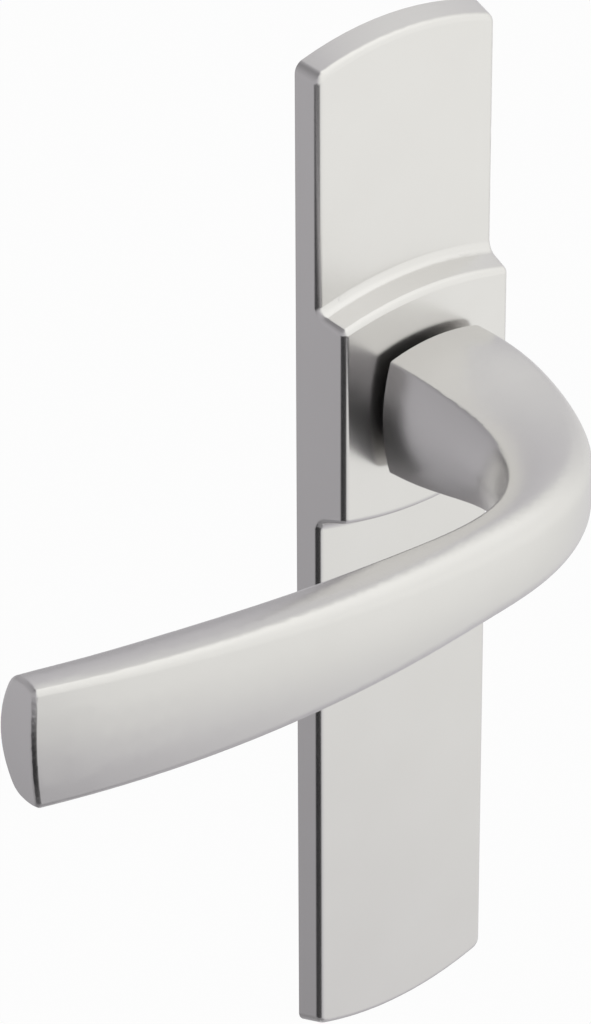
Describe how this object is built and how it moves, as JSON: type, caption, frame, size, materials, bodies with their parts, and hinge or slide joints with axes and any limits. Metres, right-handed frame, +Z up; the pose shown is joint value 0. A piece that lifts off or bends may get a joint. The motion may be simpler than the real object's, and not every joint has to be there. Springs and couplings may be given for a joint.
{
  "type": "lever door handle on a backplate",
  "caption": "Sprung lever door handle on a long arched backplate with a raised middle, concealed threaded fixing posts and a socket for a square spindle.",
  "frame": {"origin": "on the axis of the spindle and lever, in the door's face", "axes": "+X to the right and +Z up as one faces the plate, +Y into the door along the spindle; the lever points to -X"},
  "size_m": [0.1611, 0.0862, 0.22],
  "materials": {
    "satin_aluminium": "satin anodised",
    "zinc_plated_steel": "bright zinc plated",
    "hardened_steel": "dark oiled",
    "spring_steel": "tempered",
    "bearing_plastic": "moulded acetal",
    "cassette_plastic": "moulded glass filled nylon"
  },
  "bodies": {
    "backplate": {"cover_plate": "satin_aluminium", "support_plate": "zinc_plated_steel", "upper_fixing_post": "zinc_plated_steel", "lower_fixing_post": "zinc_plated_steel", "support_plate_screws": "zinc_plated_steel", "neck_bush": "bearing_plastic", "spring_housing": "cassette_plastic", "spring_housing_lid": "zinc_plated_steel", "lid_screws": "zinc_plated_steel", "rest_stop_pin": "hardened_steel", "travel_stop_pin": "hardened_steel", "return_spring": "spring_steel"},
    "lever": {"lever": "satin_aluminium", "grub_screw": "hardened_steel", "thrust_washer": "bearing_plastic", "driver_plate": "hardened_steel", "retaining_ring": "spring_steel"}
  },
  "joints": [
    {"name": "lever_turn", "type": "hinge", "parent": "backplate", "child": "lever", "pos_m": [0, 0, 0], "axis": [0, -1, 0], "range_deg": [0, 40], "stiffness_Nm_per_rad": 0.6, "springref_deg": -57.3, "deforming": ["return_spring"]}
  ]
}
